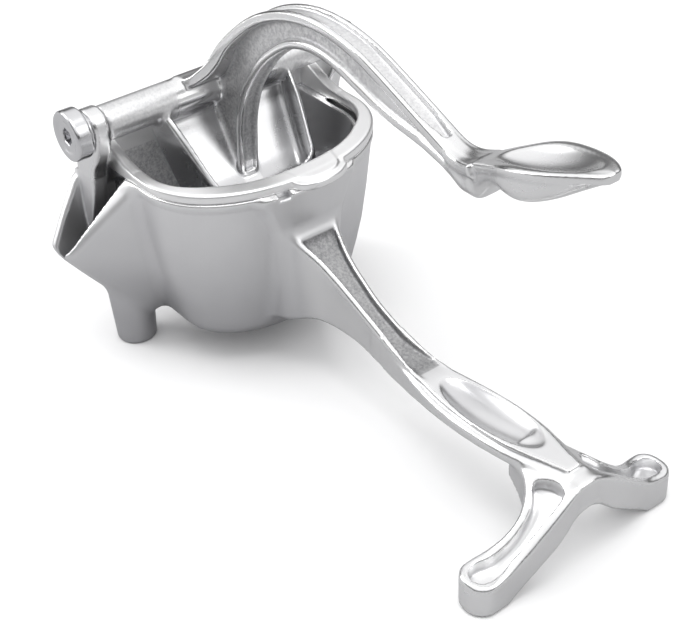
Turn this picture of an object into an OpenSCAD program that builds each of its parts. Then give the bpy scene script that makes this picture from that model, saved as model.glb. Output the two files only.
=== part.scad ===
// Hand-lever citrus press: a cast bowl with a spout, a lift-out cup with a
// strainer, and an arched lever with a scoop-shaped press head on a cross bolt.
// Units are millimetres. +X runs from the hinge to the forked foot, +Z is up,
// the spout is on the -Y side. The origin is on the table, at the middle of the
// rectangle the whole press covers.

/* [Bowl] */
// Height of the bowl rim above the table
bowl_rim_z = 84; // [80:0.5:86]
// Wall thickness of the cast bowl
bowl_wall = 3; // [2.5:0.1:3.4]
// Height of the bowl floor underside above the table
bowl_floor_z = 11; // [9:0.5:14]
// Radius of each leg where it meets the table
leg_radius = 8.3; // [7:0.1:9]

/* [Cup] */
// Height of the top of the cup rim above the table
cup_rim_z = 88.5; // [87.5:0.5:89]
// Height of the cup floor, inside
cup_floor_z = 54; // [48:0.5:55]
// Width of one drain hole in the cup floor
drain_hole = 4.4; // [3:0.1:5]

/* [Hinge] */
// Diameter of the cross bolt
bolt_diameter = 7; // [6:0.1:7.4]
// Radial clearance between the bolt and the holes it passes through
bolt_clearance = 0.05; // [0.02:0.01:0.1]
// Diameter of the round bolt head
head_diameter = 20; // [17:0.5:21]

/* [Lever] */
// Half width of the outer flange of the arch
flange_half = 5; // [4.4:0.1:5.6]
// Half width of the thin web of the arch
web_half = 2.2; // [1.6:0.1:2.8]
// Depth of the thumb dish in the upper grip
upper_dish = 3.2; // [2:0.1:4]

/* [Foot] */
// Distance from the middle plane to each foot tip centre
foot_half_span = 39.2; // [36:0.2:42]
// Depth of the pocket in each foot arm
pocket_depth = 5; // [3:0.25:6]

/* [View] */
// Which piece to build

/* [Hidden] */
$fn = 48;
eps = 0.01;

hx = -25;   // hinge axis, x
hz = 105;   // hinge axis, z
bar_half = 52.8;    // half length of the lever barrel
ear_in = 53;        // inner face of each ear
ear_out = 59.6;     // outer face of each ear
rest_gap = 0.05;    // the cup rim sits on the bowl rim

cast_c = [0.80, 0.81, 0.82];
cup_c = [0.86, 0.87, 0.88];
steel_c = [0.70, 0.71, 0.73];
nylon_c = [0.88, 0.87, 0.83];

// the pieces are drawn about the middle of the bowl, then moved so the origin
// is at the middle of the whole press's footprint
ox = -67.8;
oy = 6.2;
module place() translate([ox, oy, 0]) children();

// ---------- outlines ----------
// D outline: flat at x = xf, straight sides to xc, rounded end of depth a
function dee(xf, xc, a, b, n, k = 30) = concat(
    [[xf, b], [xf, -b]],
    [for (i = [0:k]) let (t = -90 + 180 * i / k, c = max(cos(t), 0), s = sin(t))
        [xc + a * pow(c, 2 / n), b * sign(s) * pow(abs(s), 2 / n)]]);

module dslice(z, xf, xc, a, b, n = 2.15, t = 0.02)
    translate([0, 0, z]) linear_extrude(t) polygon(dee(xf, xc, a, b, n));

// side outline given as [x, z] pairs, extruded to both sides of y = 0
module side(pts, half)
    rotate([90, 0, 0]) translate([0, 0, -half]) linear_extrude(2 * half) polygon(pts);

// front outline given as [y, z] pairs, extruded from x0 to x1
module front(pts, x0, x1)
    translate([x0, 0, 0]) rotate([90, 0, 90]) linear_extrude(x1 - x0) polygon(pts);

// plan outline extruded from z0 to z1
module plan(pts, z0, z1)
    translate([0, 0, z0]) linear_extrude(z1 - z0) polygon(pts);

function mirror_y(p) = concat(p, [for (i = [len(p) - 1:-1:0]) [p[i][0], -p[i][1]]]);

module ycyl(x, z, y0, y1, r, fn = 64)
    translate([x, y1, z]) rotate([90, 0, 0]) cylinder(r = r, h = y1 - y0, $fn = fn);

// ---------- body ----------
module bowl_shell_outer()
    hull() {
        dslice(bowl_floor_z, -33, -8, 17, 27);
        dslice(bowl_floor_z + 3, -37, -8, 23, 33.5);
        dslice(bowl_floor_z + 11, -39.5, -7, 27.5, 39);
        dslice(bowl_floor_z + 34, -40.5, -6, 33, 45.5);
        dslice(bowl_rim_z - 0.02, -41.5, -5, 37.8, 50.2);
    }

module bowl_shell_inner()
    hull() {
        dslice(bowl_floor_z + bowl_wall, -32, -8, 15, 25);
        dslice(bowl_floor_z + bowl_wall + 3, -35, -8, 20.5, 31);
        dslice(bowl_floor_z + 13, -36.6, -7, 24.5, 36);
        dslice(bowl_floor_z + 35, -37.5, -6, 30, 42.5);
        dslice(bowl_rim_z + 1, -38.5, -5, 34.8, 47.3);
    }

module dot(x, y, z, r = 0.8) translate([x, y, z]) sphere(r = r, $fn = 12);

module beak_outer()
    hull() {
        dot(-40.4, -40, 82); dot(-40.4, -61, 80.5); dot(-38.4, -76, 54);
        dot(-27.4, -75.4, 54); dot(-10, -48.6, 83.2); dot(-33, -74.4, 50);
        dot(-34, -63, 36); dot(-35, -54.6, 23.5); dot(-35, -44, 13);
        dot(-12, -42, 40); dot(-24, -38, 16);
    }

module beak_inner()
    hull() {
        dot(-37.6, -40, 95); dot(-37.6, -59, 83.6); dot(-36.4, -78, 57.5);
        dot(-29.4, -77.4, 57.5); dot(-13.6, -45, 95); dot(-33, -74.8, 54);
        dot(-33.6, -59, 37); dot(-34, -50, 24.5); dot(-34, -40, 19);
        dot(-15, -38, 42); dot(-36, -60, 110); dot(-15, -50, 96);
    }

// handle side outline and plan outline
handle_top = [[20, 76], [30.8, 67], [36.2, 61.8], [43.4, 57.7], [50.6, 53.5], [58.3, 49.6],
    [65.9, 45.5], [74, 42], [82, 38.6], [90.7, 36.1], [100, 34.9], [110.6, 34.8],
    [131, 35.7], [150, 36.3], [171.8, 37.2], [177.6, 34.6]];
handle_bot = [[178.6, 24.4], [168, 25], [160, 28.4], [150, 30], [135, 29], [118, 27.6],
    [104, 26], [94, 24.4], [85, 24.6], [72.5, 27], [60.5, 29], [43, 29], [30, 25], [12, 22]];
handle_plan = [[12, -15], [30.8, -13.3], [36.2, -9.7], [43.4, -7.5], [50.6, -6.1], [58.3, -5.2],
    [65.9, -4.8], [74, -4.8], [82, -5.1], [90.7, -6.2], [100, -7.8], [110.6, -9.6],
    [121.2, -10.8], [131, -11.3], [140, -11], [148.7, -10.5], [156.3, -8.6], [163.6, -6.6],
    [171, -5.2], [178.6, -5]];

module handle_solid()
    intersection() {
        side(concat(handle_top, handle_bot), 18);
        plan(mirror_y(handle_plan), 0, 100);
    }

// recessed channel along the top of the handle, behind the grip
module handle_channel()
    intersection() {
        side([[33, 70], [43.4, 54.6], [58.3, 46.4], [74, 38.9], [90.7, 33.6], [101, 36], [101, 50], [60, 60], [45, 70]], 12);
        plan(mirror_y([[33.5, -8.4], [37, -6.6], [43.4, -5], [50.6, -3.7], [58.3, -2.9], [70, -2.5],
            [82, -2.8], [90.7, -3.6], [99, -4.6]]), 30, 80);
    }

// spindle-shaped cutter with its long axis on x
module spindle(x, z, half, r)
    let (R = (half * half + r * r) / (2 * r))
    translate([x, 0, z]) rotate([0, 90, 0])
        rotate_extrude($fn = 48)
            polygon(concat([for (i = [-12:12]) let (u = i / 12 * half * 0.999)
                [sqrt(R * R - u * u) - (R - r), u]], [[0, half * 0.999], [0, -half * 0.999]]));

foot_side = [[-46.9, 0], [-32.5, 0], [-23, 7.6], [-11.5, 16], [0, 23.6], [11.5, 16], [23, 7.6], [32.5, 0], [46.9, 0],
    [46.9, 13], [37, 13.8], [29, 17], [20, 24], [11.5, 31], [5, 35.6], [0, 36.4], [-5, 35.6], [-11.5, 31], [-20, 24], [-29, 17], [-37, 13.8], [-46.9, 13]];
foot_floor = [[-46.9, 13 - pocket_depth], [-37, 13.8 - pocket_depth], [-29, 17 - pocket_depth], [-20, 24 - pocket_depth],
    [-11.5, 31 - pocket_depth], [-5, 35.6 - pocket_depth], [5, 35.6 - pocket_depth], [11.5, 31 - pocket_depth],
    [20, 24 - pocket_depth], [29, 17 - pocket_depth], [37, 13.8 - pocket_depth], [46.9, 13 - pocket_depth], [46.9, 60], [-46.9, 60]];

module foot_plan_2d() {
    for (s = [-1, 1]) translate([170, s * foot_half_span]) circle(r = 7.5, $fn = 48);
    polygon(mirror_y([[150, -9.5], [157, -10.2], [162, -12.5], [166, -17], [167, -22], [165.6, -28],
        [163.2, -34], [162.6, -foot_half_span], [177.4, -foot_half_span], [177, -33], [178.4, -23], [179, -12], [178, -4]]));
}

module foot_pocket_2d(s) {
    translate([170, s * foot_half_span]) circle(r = 4.9, $fn = 40);
    polygon([for (p = [[165.4, -foot_half_span], [166.4, -34], [168.6, -28], [169.8, -22], [168.8, -16], [164.8, -11.2], [167, -8.6],
        [173.6, -6.6], [175.6, -8.6], [175.6, -14], [174.8, -22], [174, -30], [174.4, -foot_half_span]]) [p[0], -s * p[1]]]);
}

module foot()
    difference() {
        intersection() {
            front(foot_side, 148, 182);
            translate([0, 0, -1]) linear_extrude(60) foot_plan_2d();
        }
        intersection() {
            front(foot_floor, 148, 182);
            translate([0, 0, 2]) linear_extrude(60) { foot_pocket_2d(-1); foot_pocket_2d(1); }
        }
    }

// lug on the cup side that carries the cross bolt
module ear(s)
    mirror([0, s > 0 ? 0 : 1, 0])
        difference() {
            translate([0, ear_out, 0]) rotate([90, 0, 0]) linear_extrude(ear_out - ear_in)
                union() {
                    translate([hx, hz]) circle(r = 8.2, $fn = 64);
                    polygon([[hx - 8.2, hz], [hx + 8.2, hz], [hx + 6, 84], [hx + 4, 66], [hx - 12, 56], [hx - 14, 76]]);
                }
            ycyl(hx, hz, ear_in - 1, ear_out + 1, bolt_diameter / 2 + bolt_clearance);
        }

// bracket that ties each ear into the bowl wall
module ear_root(s)
    mirror([0, s > 0 ? 0 : 1, 0])
        translate([0, ear_out, 0]) rotate([90, 0, 0]) linear_extrude(ear_out - 44)
            polygon([[hx - 16, 78], [hx + 5, 79], [hx + 4, 66], [hx - 12, 56]]);

module body() color(cast_c) place()
    difference() {
        union() {
            difference() {
                union() {
                    bowl_shell_outer();
                    beak_outer();
                    for (s = [-1, 1]) translate([-34.5, s * 47, 0]) {
                        cylinder(r1 = leg_radius, r2 = leg_radius + 1.6, h = 30);
                        translate([0, 0, 29.98]) cylinder(r1 = leg_radius + 1.6, r2 = 1.5, h = 40);
                    }
                    for (s = [-1, 1]) ear_root(s);
                    // pad under the cup tab
                    intersection() {
                        plan(mirror_y([[16, -22], [30, -19], [36.5, -12], [38, 0]]), 58, 83.6);
                        side([[10, 58], [33, 60], [38, 70], [38, 80], [35, 84], [10, 84]], 25);
                    }
                    handle_solid();
                }
                bowl_shell_inner();
                beak_inner();
            }
            foot();
            for (s = [-1, 1]) ear(s);
        }
        handle_channel();
        spindle(130.5, 38.6, 24, 9);
        // keeps the barrel clear of the bracket tops
        ycyl(hx, hz, -bar_half - 0.2, bar_half + 0.2, 10);
    }

// ---------- cup ----------
module cup_wall_outer()
    hull() {
        dslice(cup_floor_z - 3, -34, -8, 22, 35);
        dslice(cup_floor_z + 2, -36, -7, 26.6, 39);
        dslice(bowl_rim_z + 0.1, -37.3, -5, 33, 45.6);
    }

module cup_wall_inner()
    hull() {
        dslice(cup_floor_z, -32.5, -8, 20.5, 33.5);
        dslice(cup_floor_z + 4, -34.4, -7, 24.4, 37);
        dslice(cup_rim_z + 4, -35.4, -5, 30, 43.4);
    }

module cup_rim()
    difference() {
        union() {
            translate([0, 0, bowl_rim_z + rest_gap]) linear_extrude(cup_rim_z - bowl_rim_z - rest_gap)
                polygon(dee(-37.3, -5, 38.3, 50.6, 2.15));
            // rising corners beside the hinge
            intersection() {
                translate([0, 0, 60]) linear_extrude(60) polygon(dee(-37.3, -5, 38.3, 50.6, 2.15));
                side([[-37.3, bowl_rim_z + rest_gap], [-12, bowl_rim_z + rest_gap], [-12, cup_rim_z], [-22, 91.5], [-33, 95.6], [-37.3, 95.6]], 60);
            }
        }
        translate([0, 0, 40]) linear_extrude(80) polygon(dee(-35.4, -5, 28.6, 45.8, 2.15));
    }

module cup() color(cup_c) place()
    difference() {
        union() {
            difference() {
                union() {
                    cup_wall_outer();
                    // raised front wall behind the barrel
                    intersection() {
                        side([[-37.3, 77], [-35, 77], [-35, 95.6], [-37.3, 95.6]], 45.6);
                        translate([-60, -45.6, 60]) cube([60, 91.2, 60]);
                    }
                }
                cup_wall_inner();
            }
            cup_rim();
            // thumb tab at the handle end of the rim
            translate([0, 0, bowl_rim_z + rest_gap]) linear_extrude(cup_rim_z - bowl_rim_z - 0.6)
                polygon([[24, -9], [33.4, -8.4], [37, -6.4], [39.2, -2], [39.6, 3], [38.8, 9], [36.8, 13.4], [33.4, 16.6], [22, 17.4]]);
        }
        // drain holes through the floor
        for (ix = [0:4], iy = [-3:3])
            translate([-25 + ix * 8, iy * 8, cup_floor_z - 4]) cylinder(d = drain_hole, h = 8, $fn = 24);
        ycyl(hx, hz, -60, 60, 10.4);
    }

// ---------- strainer ----------
module strainer() color(steel_c) place()
    translate([0, 0, cup_floor_z + 0.02])
        difference() {
            linear_extrude(0.8) polygon(dee(-31.2, -8, 19.4, 32.4, 2.15));
            for (ix = [0:8], iy = [-6:6])
                translate([-28 + ix * 4.4, iy * 4.4, -1]) cylinder(d = 2, h = 3, $fn = 16);
        }

// ---------- lever ----------
arch_out = [[-31.5, 108.5], [-20.7, 112.4], [-16, 116], [-12.6, 120.8], [-6.9, 130], [2.3, 139], [11.5, 145.5],
    [23, 150.6], [34.5, 153.6], [46, 154.8], [57.5, 154], [69, 151.6], [78.5, 148.2], [92.6, 142.2],
    [106.5, 136.3], [115, 133.4], [121, 133.2], [128, 135]];
arch_in = [[128, 124.6], [121.5, 122], [114.5, 124.2], [106, 126.4], [96, 128.6], [86, 130.4], [76, 132.8],
    [66.7, 136], [57.5, 139.2], [49.5, 140.8], [40.8, 140.8], [31.7, 138.9], [22.2, 133.4], [11.5, 124.4],
    [0.5, 109.8], [-5.2, 96], [-6.8, 83], [-7.4, 74]];
arch_foot = [[-9, 69.4], [-12.4, 71.4], [-18.6, 82], [-25, 94], [-29, 101]];
// middle line of the outer flange and of the inner flange, one step in
arch_mid_top = [[-31.5, 106], [-20.7, 109], [-13, 113], [-9.6, 118.6], [-4.2, 127.6], [4.4, 136], [13.2, 142.2],
    [24, 147], [35, 149.9], [46, 151], [57, 150.3], [68, 148], [77.2, 144.7], [91.3, 138.7], [105.4, 132.8], [114, 130], [128, 131]];
arch_mid_in = [[128, 127.6], [114, 127.6], [106, 129.4], [96, 131.6], [86, 133.6], [77.2, 136], [67.8, 139.2],
    [58, 142.4], [49.5, 144], [40.2, 144], [30, 142], [19.6, 136], [8.2, 126.4], [-2.8, 111.2], [-9, 97], [-10.8, 83], [-11.6, 75]];

// plan outline of the outer flange: flares into the barrel
flange_plan = [[-32, -20], [-22, -19], [-16.7, -16.5], [-12.6, -13], [-6.9, -10.2], [2.3, -7.6], [11.5, -6],
    [23, -flange_half], [60, -flange_half], [100, -flange_half], [116, -flange_half], [124, -6.4], [128, -7.6]];

// scoop profile, outside and inside
scoop_out = [[-31.5, 104], [-29.4, 97.6], [-26.8, 92.1], [-21.8, 83.4], [-16.8, 74.8], [-12, 67.6], [-6.4, 64], [0, 64],
    [5, 66.4], [7.6, 70.6], [6.2, 74], [3.6, 77.5], [-0.5, 82.3], [-5.5, 89], [-10.5, 95.2], [-17, 101.4], [-19.5, 105]];
scoop_in = [[-22.6, 99], [-22.8, 93], [-18.2, 84.6], [-13.6, 76.8], [-9.6, 71.2], [-5.2, 67.6], [-0.8, 67.4], [2.6, 69.4],
    [5, 72.6], [12, 84.6], [6, 96], [-14, 116]];

module scoop()
    difference() {
        intersection() {
            side(scoop_out, 32);
            plan(mirror_y([[-33, -32], [-24, -31.2], [-10.5, -28.4], [-0.5, -25.4], [3.6, -23.6], [6.4, -19], [7.6, -12], [8, 0]]), 50, 120);
        }
        intersection() {
            side(scoop_in, 32);
            plan(mirror_y([[-33, -28.6], [-24, -28], [-10.5, -25.4], [-0.5, -22.4], [3.6, -20], [7, -15], [10.6, -8], [11.6, 0]]), 50, 120);
        }
    }

grip_side = [[112, 132], [118, 131.6], [124, 132.6], [136, 138.6], [147, 143.8], [161, 147.4], [174, 150.6], [179.4, 150.8],
    [180.6, 149.4], [178, 147.6], [171, 143.6], [163.3, 139.2], [156, 136], [151, 134.2], [145.8, 132.8], [140.4, 131],
    [136.6, 127.6], [132, 123], [127.7, 120.8], [124, 120.2], [119, 121.6], [112, 125]];
grip_plan = [[112, -5], [118, -5.2], [124, -6.2], [131, -8.6], [138, -10.8], [145, -12], [152, -12.2], [159, -11.4],
    [166, -9.6], [172, -7.4], [177, -4.6], [180, -1.6]];

module upper_grip()
    difference() {
        intersection() {
            side(grip_side, 14);
            plan(mirror_y(grip_plan), 100, 170);
        }
        // thumb dish
        translate([152, 0, 148.2]) rotate([0, -17, 0]) translate([-152, 0, -148.2])
            spindle(152, 148.2, 23, 6 + upper_dish);
    }

module lever() color(cast_c) place()
    difference() {
        union() {
            ycyl(hx, hz, -bar_half, bar_half, 7.5);
            // web
            side(concat(arch_out, arch_in, arch_foot), web_half);
            // outer flange
            intersection() {
                side(concat(arch_out, [for (i = [len(arch_mid_top) - 1:-1:0]) arch_mid_top[i]]), 22);
                plan(mirror_y(flange_plan), 100, 170);
            }
            // inner flange
            side(concat(arch_in, [for (i = [len(arch_mid_in) - 1:-1:0]) arch_mid_in[i]]), 4.2);
            scoop();
            upper_grip();
        }
        // channel along the top of the flange
        intersection() {
            side([[-2, 140], [4.4, 138], [13.2, 143.8], [24, 148.8], [35, 151.7], [46, 152.8], [57, 152.1], [68, 149.8],
                [77.6, 146.4], [91.7, 140.4], [105.8, 134.6], [112, 133.2], [112, 170], [-2, 170]], 3.2);
            plan(mirror_y([[2, -2.6], [20, -3], [60, -3], [100, -2.8], [110, -2], [113, -0.6]]), 100, 170);
        }
        ycyl(hx, hz, -60, 60, 5.55);
    }

// ---------- hinge hardware ----------
module pivot_bolt() color(steel_c) place()
    difference() {
        union() {
            ycyl(hx, hz, -61.2, 64.4, bolt_diameter / 2);
            // domed round head
            translate([hx, -61.2, hz]) rotate([90, 0, 0]) rotate_extrude($fn = 64)
                polygon([[0, 0], [head_diameter / 2 - 0.6, 0], [head_diameter / 2, 0.6], [head_diameter / 2, 5.2],
                    [head_diameter / 2 - 1.4, 6.6], [head_diameter / 2 - 3, 6.6], [5.6, 6.2], [0, 6.2]]);
        }
        // hexagon socket
        translate([hx, -64.2, hz]) rotate([90, 0, 0]) cylinder(d = 6.9, h = 5, $fn = 6);
    }

module thrust_washer() color(steel_c) place()
    difference() {
        ycyl(hx, hz, -61.18, -59.62, 7.4);
        ycyl(hx, hz, -62, -59, bolt_diameter / 2 + bolt_clearance);
    }

module bush(s) color(nylon_c) place()
    mirror([0, s > 0 ? 0 : 1, 0])
        difference() {
            ycyl(hx, hz, 34, 52.7, 5.5);
            ycyl(hx, hz, 33, 54, bolt_diameter / 2 + bolt_clearance);
        }

module hinge_bush_near() bush(-1);
module hinge_bush_far() bush(1);

module far_washer() color(steel_c) place()
    difference() {
        ycyl(hx, hz, 59.62, 60.6, 6.2);
        ycyl(hx, hz, 59, 61, bolt_diameter / 2 + bolt_clearance);
    }

module lock_nut() color(steel_c) place()
    difference() {
        translate([hx, 64, hz]) rotate([90, 0, 0]) cylinder(d = 12.2, h = 3.38, $fn = 6);
        ycyl(hx, hz, 60, 65, bolt_diameter / 2 + 0.02);
    }

body();
cup();
strainer();
lever();
pivot_bolt();
thrust_washer();
hinge_bush_near();
hinge_bush_far();
far_washer();
lock_nut();
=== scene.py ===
import math

import bmesh
import bpy
import numpy as np
from mathutils import Matrix, Vector


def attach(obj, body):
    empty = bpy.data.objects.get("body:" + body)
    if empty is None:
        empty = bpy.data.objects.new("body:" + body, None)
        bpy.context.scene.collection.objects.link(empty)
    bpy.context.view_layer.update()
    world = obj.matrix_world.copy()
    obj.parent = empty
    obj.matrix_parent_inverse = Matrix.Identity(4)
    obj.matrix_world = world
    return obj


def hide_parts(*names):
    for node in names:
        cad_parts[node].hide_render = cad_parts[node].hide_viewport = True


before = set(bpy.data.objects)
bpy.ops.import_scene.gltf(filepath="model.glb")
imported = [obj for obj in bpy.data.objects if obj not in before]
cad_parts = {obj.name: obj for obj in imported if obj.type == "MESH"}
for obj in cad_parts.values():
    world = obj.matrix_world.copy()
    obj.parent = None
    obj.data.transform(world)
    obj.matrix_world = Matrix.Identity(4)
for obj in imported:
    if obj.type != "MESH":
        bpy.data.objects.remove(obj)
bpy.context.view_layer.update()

OX, OY = -67.8, 6.2          # drawing frame (bowl centre) to row frame, mm
HX, HZ = -25.0, 105.0        # hinge axis, drawing frame, mm


# --------------------------------------------------------------------------
# distance-field modelling: every casting is one smooth field, meshed once
# --------------------------------------------------------------------------
def smin(a, b, k):
    h = np.maximum(k - np.abs(a - b), 0) / k
    return np.minimum(a, b) - h * h * (k / 4)


def smax(a, b, k):
    return -smin(-a, -b, k)


def rmax(a, b, r):
    """intersection with a rounded edge of radius r"""
    u, v = a + r, b + r
    return np.minimum(np.maximum(u, v), 0) + np.hypot(np.maximum(u, 0), np.maximum(v, 0)) - r


def spline(pts, closed=False, n=8):
    """Catmull-Rom through the points"""
    p = np.array(pts, float)
    m = len(p)
    out = []
    for i in range(m if closed else m - 1):
        if closed:
            a, b, c, d = p[(i - 1) % m], p[i], p[(i + 1) % m], p[(i + 2) % m]
        else:
            a, b, c, d = p[max(i - 1, 0)], p[i], p[i + 1], p[min(i + 2, m - 1)]
        for t in np.arange(n) / n:
            out.append(0.5 * (2 * b + (c - a) * t + (2 * a - 5 * b + 4 * c - d) * t * t
                              + (3 * b - a - 3 * c + d) * t ** 3))
    if not closed:
        out.append(p[-1])
    return np.array(out)


def poly(pts, A, B):
    """signed distance to a closed polygon on the 2-D lattice A x B"""
    p = np.array(pts, float)
    A, B = A[:, None].astype(np.float32), B[None, :].astype(np.float32)
    d2 = np.full((A.shape[0], B.shape[1]), 1e12, np.float32)
    inside = np.zeros(d2.shape, bool)
    for (x0, y0), (x1, y1) in zip(p, np.roll(p, -1, 0)):
        ex, ey = x1 - x0, y1 - y0
        L = ex * ex + ey * ey
        if L < 1e-12:
            continue
        wx, wy = A - np.float32(x0), B - np.float32(y0)
        t = np.clip((wx * ex + wy * ey) / L, 0, 1)
        d2 = np.minimum(d2, (wx - ex * t) ** 2 + (wy - ey * t) ** 2)
        c = (y0 > B) != (y1 > B)
        if abs(ey) > 1e-12:
            inside ^= c & (A < ex * (B - y0) / ey + x0)
    d = np.sqrt(d2)
    return np.where(inside, -d, d).astype(np.float32)


def mirror(p):
    p = [tuple(q) for q in p]
    return p + [(x, -y) for x, y in reversed(p)]


def dee(xf, xc, a, b, n=2.15, k=40):
    out = [(xf, b), (xf, -b)]
    for i in range(k + 1):
        t = math.radians(-90 + 180 * i / k)
        c, s = max(math.cos(t), 0), math.sin(t)
        out.append((xc + a * c ** (2 / n), b * math.copysign(abs(s) ** (2 / n), s)))
    return out


class Field:
    def __init__(self, lo, hi, h):
        self.h = h
        self.lo = np.array(lo, float)
        self.n = np.ceil((np.array(hi) - self.lo) / h).astype(int) + 1
        self.ax = [(self.lo[i] + h * np.arange(self.n[i])).astype(np.float32) for i in range(3)]
        self.f = np.full(self.n, 50, np.float32)

    def block(self, box):
        s = []
        for i in range(3):
            a, b = box[2 * i], box[2 * i + 1]
            s.append(slice(int(np.searchsorted(self.ax[i], a)), int(np.searchsorted(self.ax[i], b)) + 1))
        return tuple(s)

    def axes(self, s):
        return self.ax[0][s[0]], self.ax[1][s[1]], self.ax[2][s[2]]

    def apply(self, box, fn, op, k=0.0):
        s = self.block(box)
        x, y, z = self.axes(s)
        if not (len(x) and len(y) and len(z)):
            return
        d = fn(x, y, z)
        cur = self.f[s]
        if op == "add":
            self.f[s] = np.minimum(cur, d) if k <= 0 else smin(cur, d, k)
        elif op == "cut":
            self.f[s] = np.maximum(cur, -d) if k <= 0 else smax(cur, -d, k)
        elif op == "keep":
            self.f[s] = np.maximum(cur, d) if k <= 0 else smax(cur, d, k)

    def mesh(self):
        """surface nets"""
        f = self.f
        neg = f < 0
        n = self.n
        c = neg[:-1, :-1, :-1].astype(np.uint8)
        tot = np.zeros_like(c)
        for dx in (0, 1):
            for dy in (0, 1):
                for dz in (0, 1):
                    tot += neg[dx:n[0] - 1 + dx, dy:n[1] - 1 + dy, dz:n[2] - 1 + dz]
        act = (tot > 0) & (tot < 8)
        I, J, K = np.nonzero(act)
        idx = np.full(act.shape, -1, np.int32)
        idx[I, J, K] = np.arange(len(I))
        corner = {}
        for dx in (0, 1):
            for dy in (0, 1):
                for dz in (0, 1):
                    corner[dx, dy, dz] = f[I + dx, J + dy, K + dz]
        acc = np.zeros((len(I), 3), np.float32)
        cnt = np.zeros(len(I), np.float32)
        for ax in range(3):
            for u in (0, 1):
                for v in (0, 1):
                    a = [0, 0, 0]
                    o = [i for i in range(3) if i != ax]
                    a[o[0]], a[o[1]] = u, v
                    b = list(a)
                    b[ax] = 1
                    fa, fb = corner[tuple(a)], corner[tuple(b)]
                    m = (fa < 0) != (fb < 0)
                    t = np.where(m, fa / np.where(m, fa - fb, 1), 0)
                    p = np.zeros((len(I), 3), np.float32)
                    p[:, o[0]], p[:, o[1]], p[:, ax] = u, v, t
                    acc += p * m[:, None]
                    cnt += m
        V = (np.stack([I, J, K], 1) + acc / cnt[:, None]) * self.h + self.lo
        quads = []
        for ax in range(3):
            o = [(ax + 1) % 3, (ax + 2) % 3]
            sl0 = [slice(None)] * 3
            sl1 = [slice(None)] * 3
            sl0[ax], sl1[ax] = slice(0, n[ax] - 1), slice(1, n[ax])
            a, b = neg[tuple(sl0)], neg[tuple(sl1)]
            m = a != b
            P = list(np.nonzero(m))
            ok = (P[o[0]] > 0) & (P[o[1]] > 0) & (P[o[0]] < n[o[0]] - 1) & (P[o[1]] < n[o[1]] - 1)
            P = [q[ok] for q in P]
            flip = ~a[tuple(P)]

            def at(d0, d1):
                q = [P[0].copy(), P[1].copy(), P[2].copy()]
                q[o[0]] -= d0
                q[o[1]] -= d1
                return idx[tuple(q)]
            q = np.stack([at(0, 0), at(1, 0), at(1, 1), at(0, 1)], 1)
            q[flip] = q[flip][:, ::-1]
            quads.append(q)
        return V, np.concatenate(quads)

    def sample(self, V, arr):
        """trilinear sample of a lattice array at points"""
        g = (V - self.lo) / self.h
        i = np.clip(np.floor(g).astype(int), 0, self.n - 2)
        t = (g - i).astype(np.float32)
        out = 0
        for dx in (0, 1):
            for dy in (0, 1):
                for dz in (0, 1):
                    w = (np.where(dx, t[:, 0], 1 - t[:, 0]) * np.where(dy, t[:, 1], 1 - t[:, 1])
                         * np.where(dz, t[:, 2], 1 - t[:, 2]))
                    out = out + w * arr[i[:, 0] + dx, i[:, 1] + dy, i[:, 2] + dz]
        return out


def relax(V, Q, steps, amount=0.5):
    """light Laplacian smoothing over the quads' edges"""
    E = np.concatenate([Q[:, [0, 1]], Q[:, [1, 2]], Q[:, [2, 3]], Q[:, [3, 0]]])
    a, b = E[:, 0], E[:, 1]
    deg = np.bincount(a, minlength=len(V)) + np.bincount(b, minlength=len(V))
    for _ in range(steps):
        for fac in (amount, -amount * 1.04):
            S = np.stack([np.bincount(a, V[b, i], len(V)) + np.bincount(b, V[a, i], len(V)) for i in range(3)], 1)
            V = V + fac * (S / deg[:, None] - V)
    return V


def build(name, F, attrs=None, steps=2, body=None, replaces=None, mat=None):
    V, Q = F.mesh()
    V = relax(V, Q, steps)
    f = F.f
    for _ in range(2):
        g = np.stack([F.sample(V + np.eye(3)[i] * F.h * 0.5, f) - F.sample(V - np.eye(3)[i] * F.h * 0.5, f) for i in range(3)], 1) / F.h
        d = F.sample(V, f) / np.maximum((g * g).sum(1), 0.25)
        V = V - np.clip(d, -0.3 * F.h, 0.3 * F.h)[:, None] * g * 0.8
    lap = np.zeros_like(f)
    s = 2
    lap[s:-s, s:-s, s:-s] = (f[2 * s:, s:-s, s:-s] + f[:-2 * s, s:-s, s:-s] + f[s:-s, 2 * s:, s:-s] + f[s:-s, :-2 * s, s:-s]
                             + f[s:-s, s:-s, 2 * s:] + f[s:-s, s:-s, :-2 * s] - 6 * f[s:-s, s:-s, s:-s]) / (s * F.h) ** 2
    curv = F.sample(V, lap)
    me = bpy.data.meshes.new(name)
    W = V.copy()
    W[:, 0] += OX
    W[:, 1] += OY
    W *= 0.001
    me.vertices.add(len(W))
    me.vertices.foreach_set("co", W.astype(np.float32).ravel())
    me.loops.add(len(Q) * 4)
    me.loops.foreach_set("vertex_index", Q.astype(np.int32).ravel())
    me.polygons.add(len(Q))
    me.polygons.foreach_set("loop_start", np.arange(0, len(Q) * 4, 4, dtype=np.int32))
    me.polygons.foreach_set("loop_total", np.full(len(Q), 4, np.int32))
    me.update(calc_edges=True)
    me.validate()
    me.polygons.foreach_set("use_smooth", np.ones(len(me.polygons), bool))

    def put(key, val):
        at = me.attributes.new(key, "FLOAT", "POINT")
        at.data.foreach_set("value", np.asarray(val, np.float32))
    put("edge", np.clip(curv * 0.5, -1, 1))
    for key, fn in (attrs or {}).items():
        put(key, fn(V))
    ob = bpy.data.objects.new(name, me)
    bpy.context.scene.collection.objects.link(ob)
    if mat:
        me.materials.append(mat)
    if body:
        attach(ob, body)
    if replaces:
        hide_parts(*replaces)
    print("built", name, len(V), "verts", len(Q), "quads")
    return ob


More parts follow.
